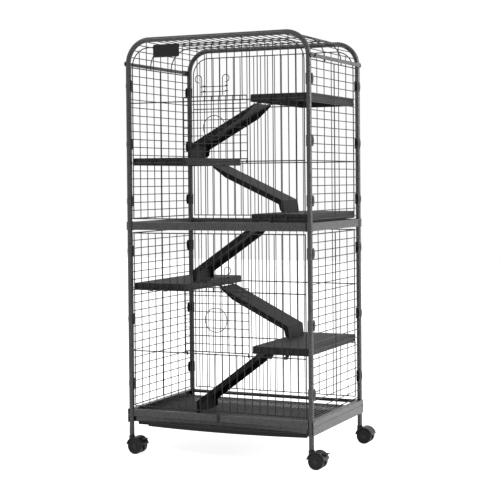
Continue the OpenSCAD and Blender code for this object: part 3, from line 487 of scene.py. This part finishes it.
def bent_strip(line, width, thick, x):
    """A strip along X of the given width whose side view follows line, points (y, z), with half the thickness laid
    off on each side along the line's normal."""
    line = np.array(line)
    along = np.gradient(line, axis=0)
    side = np.stack([-along[:, 1], along[:, 0]], 1) / np.linalg.norm(along, axis=1)[:, None] * thick / 2
    ring = [(-1, -1), (1, -1), (1, 1), (-1, 1)]
    corners = np.stack([np.column_stack([np.full(len(line), x + s * width / 2), line + e * side]) for s, e in ring], 1)
    corners = np.concatenate([corners[:1].mean(1, keepdims=True).repeat(4, 1), corners,
                              corners[-1:].mean(1, keepdims=True).repeat(4, 1)])
    return corners.reshape(-1, 3), grid_faces(len(corners), 4)


plate_black = painted("plate_black_paint", (0.006, 0.006, 0.0065), 0.4, 0.4, cells=600.0, contrast=0.3, bump=0.15,
                      specular=0.2, dusty=0.04)
wire_top_z = arch_z - 0.025
plate_half = (0.0465, 0.0205)
plate_at = np.array([centre_x - 0.1715, front_y - 0.0042, wire_top_z - 0.0125])
shapes = [plate_shape(plate_at, plate_half)]
over_wire, hook_r = np.linspace(0, np.pi, 14), 0.0027
hook_line = np.concatenate([
    [(front_y - 0.0036, wire_top_z - 0.02), (front_y - 0.0032, wire_top_z - 0.008)],
    np.column_stack([front_y - hook_r * np.cos(over_wire), wire_top_z + hook_r * np.sin(over_wire)]),
    [(front_y + hook_r, wire_top_z - 0.004)]])
for x in (-0.03, 0.03):
    shapes.append(bent_strip(hook_line, 0.008, 0.0008, plate_at[0] + x))
make_piece("bare_plate", shapes, plate_black, "cage", smooth=False)


# Platforms: trays of thin sheet steel with a soft edge all round, a lip turned down, and a bead rolled along the
# lower edge that carries the ramp. The ramps' black paint with a fine hammered texture, painted lighter here as
# painted light for how the light falls on the platforms.

def ring_stack(outline, rings, centre):
    """A solid of stacked loops: ring (inset, z) is outline(inset) at height z, and (None, z) is a point at centre."""
    count = len(outline(0))
    corners = [np.column_stack([np.tile(centre, (count, 1)) if inset is None else outline(inset), np.full(count, z)])
               for inset, z in rings]
    return np.concatenate(corners), grid_faces(len(rings), count)


# The ramps' black paint (0.0095), painted lighter at 0.015 as painted light on the platforms' tops and lips.
platform_paint_lit_copy = painted("platform_black_paint", (0.015, 0.015, 0.0155), 0.5, 0.9, cells=240.0, contrast=1.2,
                         bump=0.8, specular=0.2, dusty=0.005)
sheet, bead_r, corner_r = 0.0015, 0.0025, 0.008
for i in range(1, 6):
    low, high = np.array(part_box("platform_%d" % i))
    side = 1 if (low + high)[0] / 2 > centre_x else -1
    edge = (low[0] if side > 0 else high[0]) + side * (bead_r - sheet / 2)
    outer = high[0] if side > 0 else low[0]
    centre = np.array([(edge + outer) / 2, (low[1] + high[1]) / 2])
    top, foot = high[2], low[2]

    size_x, size_y = abs(outer - edge), high[1] - low[1]

    def rim(inset):
        """The platform's rounded rectangle, pulled in by inset."""
        return centre + rounded_section(size_x - 2 * inset, size_y - 2 * inset, corner_r - inset, 8)

    pan = ring_stack(rim, [(None, top - sheet), (0.0035, top - sheet), (0.002, top - 0.0022), (sheet, top - 0.004),
                           (sheet, foot), (0.0002, foot), (0, foot + 0.0004), (0, top - 0.003), (0.0004, top - 0.0015),
                           (0.0012, top - 0.0005), (0.0026, top), (None, top)], centre)
    bead_x, bead_z = edge + side * sheet / 2, foot + bead_r
    bead = sweep([(bead_x, low[1] + corner_r, bead_z), (bead_x, high[1] - corner_r, bead_z)], (0, 0, 1),
                 round_section * bead_r)
    platform = make_piece("platform_%d_pan" % i, [pan, bead], platform_paint_lit_copy, "cage", smooth=False)
    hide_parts("platform_%d" % i)


# Ramps: one folded sheet each, a channel with flat side flanges that turns down into an upright foot, with two bands
# bent round the platform's bead, so that it tilts on it. Black paint, the same as the platforms'; the platforms' copy
# is painted lighter as painted light.

ramp_black = painted("sheet_black_paint", (0.0095, 0.0095, 0.01), 0.46, 0.9, cells=240.0, contrast=1.2, bump=0.8,
                     specular=0.12, dusty=0.005)
ramp_lengths = (0.276, 0.284, 0.288, 0.284, 0.298)
ramp_w, foot_plate, plumb, bend_r, flange = 0.124, 0.038, np.radians(32), 0.005, 0.016
band_r, band_w, band_in, taper = 0.0038, 0.016, 0.018, 0.07
toe_x, toe_z = foot_plate * np.sin(plumb), foot_plate * np.cos(plumb)
turn = np.linspace(0, np.pi / 2 - plumb, 9)
wrap = np.radians(np.linspace(-12, -204, 22))
for i, length in enumerate(ramp_lengths, 1):
    low, high = np.array(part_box("platform_%d" % i))
    side = 1 if (low + high)[0] / 2 > centre_x else -1
    bead = np.array([(low[0] if side > 0 else high[0]) + side * bead_r, low[2] + bead_r])
    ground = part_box("platform_%d" % (i + 1))[1][2] if i < 5 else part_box("floor_grate")[1][2]
    toe = np.array([length + toe_x, toe_z])
    slope = np.arcsin((bead[1] - ground - 0.0004) / np.hypot(*toe)) - np.arctan(toe[1] / toe[0])
    along = np.array([-side * np.cos(slope), -np.sin(slope)])
    up = np.array([-side * np.sin(slope), np.cos(slope)])
    ramp_low, ramp_high = np.array(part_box("ramp_%d" % i))
    middle = (ramp_low[1] + ramp_high[1]) / 2

    def lay(points, y):
        """Points (distance down the ramp, height over it) as places in the cage, at depth y."""
        points = np.array(points)
        flat = bead + points[:, :1] * along + points[:, 1:] * up
        return np.column_stack([flat[:, 0], np.full(len(flat), y), flat[:, 1]])

    start = length - bend_r * np.tan((np.pi / 2 - plumb) / 2)
    bent = np.stack([start + bend_r * np.sin(turn), bend_r * (np.cos(turn) - 1)], 1)
    line = np.concatenate([[(0.010, 0), (0.02, 0)], bent, [(toe[0], -toe[1])]])
    shapes = [sweep(lay(line, middle), (0, -side, 0), rounded_section(ramp_w, sheet, 0.0006, 3))]
    upper = np.array([(0.012, 0), (taper, 0), (start, 0), (length - 0.001, -0.001), (toe[0], -toe[1])])
    lower = np.array([(0.012, -0.003), (taper, -flange), (start - 0.004, -flange), (toe[0] - 0.014, -toe[1]),
                      (toe[0] - 0.001, -toe[1])])
    for y in (middle - ramp_w / 2, middle + ramp_w / 2 - sheet):
        rings = np.stack([lay(upper, y), lay(upper, y + sheet), lay(lower, y + sheet), lay(lower, y)], 1)
        shapes.append((rings.reshape(-1, 3), np.concatenate([grid_faces(5, 4), [(0, 1, 2, 3), (16, 17, 18, 19)]])))
    band = np.concatenate([[(0.0125, 0), (0.006, -0.0002)], band_r * np.stack([np.cos(wrap), np.sin(wrap)], 1)])
    for y in (middle - ramp_w / 2 + band_in, middle + ramp_w / 2 - band_in):
        shapes.append(sweep(lay(band, y), (0, -side, 0), rounded_section(band_w, 0.0018, 0.0005, 2)))
    ramp = make_piece("ramp_%d_sheet" % i, shapes, ramp_black, "ramp_%d" % i, smooth=False)
    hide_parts("ramp_%d" % i)


# Clips: black nylon covers pushed over a post and the side panel's border wire, bulging at mid height, and a flat
# catch bent over the middle of the front rail. The platforms' hooks have the same finish.

clip_plastic = painted("clip_plastic", (0.007, 0.007, 0.0075), 0.42, 0.3, cells=600.0, contrast=0.4, bump=0.2,
                       specular=0.3, dusty=0.03)
dress(["platform_hooks"], clip_plastic)
clip_half, ring_r, bulge_r = 0.017, 0.0093, 0.05
rise = np.linspace(-clip_half, clip_half, 13)


def slab(thick):
    """A closed loop as long as a clip and of the given thickness, with a corner at each step of rise on each side."""
    edge = np.stack([rise, np.full(len(rise), thick / 2)], 1)
    return np.concatenate([edge, edge[::-1] * (1, -1)])


half_turn = np.linspace(0, np.pi, 19)
ring = np.column_stack([ring_r * np.cos(half_turn), ring_r * np.sin(half_turn), np.zeros(len(half_turn))])
strips = [sweep(ring, (0, 0, 1), slab(0.0024))]
for line, thick in (([(0.00685, 0.006, 0), (0.0068, 0.017, 0), (0.0062, 0.019, 0)], 0.0035),
                    ([(-0.00275, 0.0085, 0), (-0.00275, 0.019, 0)], 0.0018),
                    ([(0.0024, 0.0085, 0), (0.0024, 0.01315, 0)], 0.0121)):
    strips.append(sweep(line, (0, 0, 1), slab(thick)))
for corners, faces in strips:
    bulge = bulge_r - np.sqrt(bulge_r ** 2 - corners[:, 2] ** 2)
    corners[:, 0] -= bulge * np.clip((corners[:, 0] - 0.003) / 0.005, 0, 1)
clips = []
for low, high in zip(*solid_boxes("panel_clips")):
    middle = (low + high) / 2
    side = 1 if middle[0] > centre_x else -1
    inward = 1 if middle[1] < (front_y + back_y) / 2 else -1
    post = np.array([centre_x + side * half_x, front_y if inward > 0 else back_y, middle[2]])
    clips += [(corners * (side, inward, 1) + post, faces) for corners, faces in strips]
side_clips = make_piece("side_clips", clips, clip_plastic, "cage", smooth=False)
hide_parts("panel_clips")
rail_low, rail_high = np.array(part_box("base_front_rail"))
fold, fold_r = np.linspace(0, np.pi / 2, 5), 0.001
over_edge = np.stack([rail_low[1] + 0.0001 - fold_r * np.cos(fold), rail_high[2] - 0.0002 + fold_r * np.sin(fold)], 1)
catch = np.concatenate([[(rail_low[1] - 0.0009, rail_high[2] - 0.021)], over_edge, [(front_y, rail_high[2] + 0.0008)]])
catch = np.column_stack([np.full(len(catch), centre_x), catch])
make_piece("rail_catch", [sweep(catch, (1, 0, 0), rounded_section(0.010, 0.0015, 0.0006, 3))], clip_plastic, "cage",
           smooth=False)


# Tray: a vacuum-formed pan of black plastic that hangs by its rim on the runners. Its shelf bows out under the front
# rail and ends in a lip; a painted steel front lies on the shelf and closes the gap.

tray_plastic = painted("tray_plastic", (0.005, 0.005, 0.0055), 0.42, 0.4, cells=420.0, contrast=0.4, bump=0.2,
                       specular=0.2, dusty=0.02)
wall, hang, rim_out, pan_w, pan_r = 0.0015, 0.012, 0.005, 0.5902, 0.006
rest_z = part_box("base_right_rail")[0][2] + 0.0023
shelf_z = rest_z + wall
pan_y = np.array([front_y + 0.008, back_y - 0.014])
pan_centre = np.array([centre_x, pan_y.mean()])


def pan_outline(inset):
    """The pan's rounded rectangle; a negative inset reaches out over the runners at the sides only."""
    reach = max(inset, 0)
    return pan_centre + rounded_section(pan_w - 2 * inset, pan_y[1] - pan_y[0] - 2 * reach, pan_r - reach, 6)


pan = ring_stack(pan_outline, [
    (None, shelf_z - hang), (0.003, shelf_z - hang), (0.001, shelf_z - hang + 0.0008), (0, shelf_z - 0.009),
    (0, rest_z), (-rim_out, rest_z), (-rim_out, shelf_z), (0.0012, shelf_z), (0.002, shelf_z - 0.0008),
    (0.0022, shelf_z - 0.008), (0.0034, shelf_z - 0.0103), (0.0055, shelf_z - hang + wall),
    (None, shelf_z - hang + wall)], pan_centre)
bow, half_shelf, chord = 0.024, 0.2981, 0.2861
bow_r = (chord ** 2 + bow ** 2) / (2 * bow)


def bow_outline(inset, back=0.009):
    """A straight back, and in front an arc of radius bow_r that stands out by bow at its middle."""
    x = np.linspace(-half_shelf + inset, half_shelf - inset, 60)
    y = bow_r - bow - np.sqrt((bow_r - inset) ** 2 - x ** 2)
    return np.concatenate([np.stack([x, y], 1), [(x[-1], back), (x[0], back)]]) + (centre_x, front_y)


shelf_centre = np.array([centre_x, front_y - 0.004])
shelf = ring_stack(bow_outline, [(None, rest_z), (0.0004, rest_z), (0, rest_z + 0.0005), (0.0003, shelf_z - 0.0003),
                                 (0.0009, shelf_z), (None, shelf_z)], shelf_centre)
lip_x = np.linspace(-half_shelf + 0.05, half_shelf - 0.001, 60)
lip_line = np.column_stack([centre_x + lip_x, front_y + bow_r - bow - np.sqrt((bow_r - 0.0008) ** 2 - lip_x ** 2),
                            np.full(len(lip_x), rest_z - 0.0052)])
lip = sweep(lip_line, (0, 0, 1), rounded_section(0.0115, 0.0016, 0.0006, 3))
tray = make_piece("formed_tray", [pan, shelf, lip], tray_plastic, "tray", smooth=False)
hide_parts("tray")
steel_z, steel = shelf_z + 0.0001, 0.0012
front_plate = ring_stack(lambda inset: bow_outline(inset + 0.0006, 0.0022), [
    (None, steel_z), (0.0003, steel_z), (0, steel_z + 0.0003), (0.0001, steel_z + 0.0008), (0.0006, steel_z + steel),
    (None, steel_z + steel)], shelf_centre)
upright_z = np.array([steel_z, rail_low[2] - 0.0003])
upright_line = [(centre_x + x, front_y + 0.0016, upright_z.mean()) for x in (-0.2961, 0.2961)]
upright = sweep(upright_line, (0, 0, 1), rounded_section(upright_z[1] - upright_z[0], steel, 0.0004, 3))
make_piece("tray_front", [front_plate, upright], frame_paint, "tray", smooth=False)


# Casters: black nylon hoods on zinc-plated steel stems that push into the posts' plugs, twin wheels of hard rubber
# with a turned cap on each outer face, and a brake pedal on the front ones.

hood_plastic = painted("caster_plastic", (0.008, 0.008, 0.0085), 0.34, 0.3, cells=500.0, contrast=0.3, bump=0.12,
                       specular=0.3, dusty=0.04)
dress([n for n in nodes if n.startswith(("caster_front", "caster_back", "pedal_"))] + ["post_plugs"], hood_plastic)
wheel_rubber = painted("wheel_rubber", (0.0055, 0.0055, 0.006), 0.45, 0.4, cells=500.0, contrast=0.4, bump=0.15,
                       specular=0.25, dusty=0.03)
dress([n for n in nodes if n.startswith("wheels_")], wheel_rubber)
stem_steel = painted("stem_zinc", (0.5, 0.5, 0.5), 0.24, 0.1, cells=700.0, contrast=0.3, bump=0.1)
dress(["caster_stems"], stem_steel)


def hub_cap(centre, sign):
    """A turned cap along Y: rings (radius, height) over a low dome with a ring groove and a centre dimple."""
    a = np.linspace(0, 2 * np.pi, 40, endpoint=False)
    millimetre = 0.001
    rings = millimetre * np.array([(0, 0), (8.2, 0), (8.2, 0.5), (7.6, 1.0), (6.6, 1.15), (6.2, 0.8), (5.8, 0.8),
                                   (5.4, 1.25), (3.5, 1.5), (1.6, 1.55), (1.2, 1.2), (0, 1.1)])
    corners = np.stack([rings[:, 0, None] * np.cos(a), np.repeat(sign * rings[:, 1, None], len(a), 1),
                        rings[:, 0, None] * np.sin(a)], -1)
    return corners.reshape(-1, 3) + centre, grid_faces(len(rings), len(a))


cap_h = 0.0016
for corner in ("front_left", "front_right", "back_left", "back_right"):
    low, high = np.array(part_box("wheels_" + corner))
    middle = (low + high) / 2
    reach = (high[1] - low[1]) / 2 - cap_h
    caps = [hub_cap(middle + (0, sign * reach, 0), sign) for sign in (-1, 1)]
    make_piece("hub_caps_" + corner, caps, hood_plastic, "wheels_" + corner)


# Room: a plain pale floor that keeps the cage's shadow, and a studio round it that is bright behind and dimmer in
# front. The camera, gloss and glass see it white. Two soft lamps stand at the left in front and at the right.

def seen_rays(tree):
    """1 for rays from the camera, or by way of gloss or glass, and 0 for those that only light things."""
    rays = tree.nodes.new("ShaderNodeLightPath").outputs
    mirrored = add_math(tree, "MAXIMUM", rays["Is Glossy Ray"], rays["Is Transmission Ray"])
    return add_math(tree, "MAXIMUM", rays["Is Camera Ray"], mirrored)


floor_reach, floor_glow, sky_front, sky_back = 9, 0.88, 0.15, 0.68
floor_mesh = bpy.data.meshes.new("floor")
floor_mesh.from_pydata([(-floor_reach, -floor_reach, 0), (floor_reach, -floor_reach, 0), (floor_reach, floor_reach, 0),
                        (-floor_reach, floor_reach, 0)], [], [(0, 1, 2, 3)])
floor = bpy.data.objects.new("floor", floor_mesh)
bpy.context.scene.collection.objects.link(floor)
floor_pale = bpy.data.materials.new("floor_pale")
floor_pale.use_nodes = True
tree = floor_pale.node_tree
shader = tree.nodes["Principled BSDF"]
shader.inputs["Base Color"].default_value = (0.8, 0.8, 0.8, 1)
shader.inputs["Roughness"].default_value = 0.9
shader.inputs["Emission Color"].default_value = (1, 1, 1, 1)
tree.links.new(add_math(tree, "MULTIPLY", seen_rays(tree), floor_glow), shader.inputs["Emission Strength"])
floor_mesh.materials.append(floor_pale)

world = bpy.data.worlds.new("studio")
bpy.context.scene.world = world
world.use_nodes = True
tree = world.node_tree
background = tree.nodes["Background"]
where, split, fade, pick = (tree.nodes.new("ShaderNode" + kind)
                            for kind in ("TexCoord", "SeparateXYZ", "MapRange", "Mix"))
fade.interpolation_type = "SMOOTHSTEP"
for key, value in (("From Min", -0.75), ("From Max", 0.55), ("To Min", sky_front), ("To Max", sky_back)):
    fade.inputs[key].default_value = value
pick.data_type = "FLOAT"
pick.inputs["B"].default_value = 1.0
tree.links.new(where.outputs["Generated"], split.inputs[0])
tree.links.new(split.outputs["Y"], fade.inputs["Value"])
tree.links.new(seen_rays(tree), pick.inputs["Factor"])
tree.links.new(fade.outputs[0], pick.inputs["A"])
tree.links.new(pick.outputs[0], background.inputs["Strength"])
background.inputs["Color"].default_value = (1, 1, 1, 1)


def soft_lamp(name, place, aim, size, power):
    """A square area lamp at place that faces aim."""
    data = bpy.data.lights.new(name, "AREA")
    data.shape = "SQUARE"
    data.size = size
    data.energy = power
    lamp = bpy.data.objects.new(name, data)
    bpy.context.scene.collection.objects.link(lamp)
    z = np.subtract(place, aim)
    z = z / np.linalg.norm(z)
    x = np.cross((0, 0, 1), z)
    x = x / np.linalg.norm(x)
    turn = np.column_stack([x, np.cross(z, x), z, place]).tolist()
    lamp.matrix_world = Matrix(turn + [[0, 0, 0, 1]])


soft_lamp("lamp_left", (-2.2, -3.2, 3.6), (0, 0, 0.7), 1.5, 60)
soft_lamp("lamp_right", (3.6, 0.6, 1.9), (0, 0, 0.7), 1.8, 165)


# Camera: the photograph's place, about 4 m off to the right of the front at two thirds of the cage's height, with a
# long lens and the small shift that its framing needs. Colours go to the picture as they are.

camera_place = (1.7819, -3.7936, 0.8738)
yaw, pitch, roll = np.radians([23.817, -1.016, -0.480])
ahead = np.array([-np.sin(yaw) * np.cos(pitch), np.cos(yaw) * np.cos(pitch), np.sin(pitch)])
level = np.array([np.cos(yaw), np.sin(yaw), 0.0])
over = np.cross(level, ahead)
right = level * np.cos(roll) + over * np.sin(roll)
upward = over * np.cos(roll) - level * np.sin(roll)
lens = bpy.data.cameras.new("camera")
lens.sensor_width = 36
lens.lens = 93.16
lens.shift_x = -0.0602
lens.shift_y = -0.0954
lens.clip_end = 60
camera = bpy.data.objects.new("camera", lens)
bpy.context.scene.collection.objects.link(camera)
turn = np.column_stack([right, upward, -ahead, camera_place]).tolist()
camera.matrix_world = Matrix(turn + [[0, 0, 0, 1]])
bpy.context.scene.camera = camera
bpy.context.scene.view_settings.view_transform = "Standard"
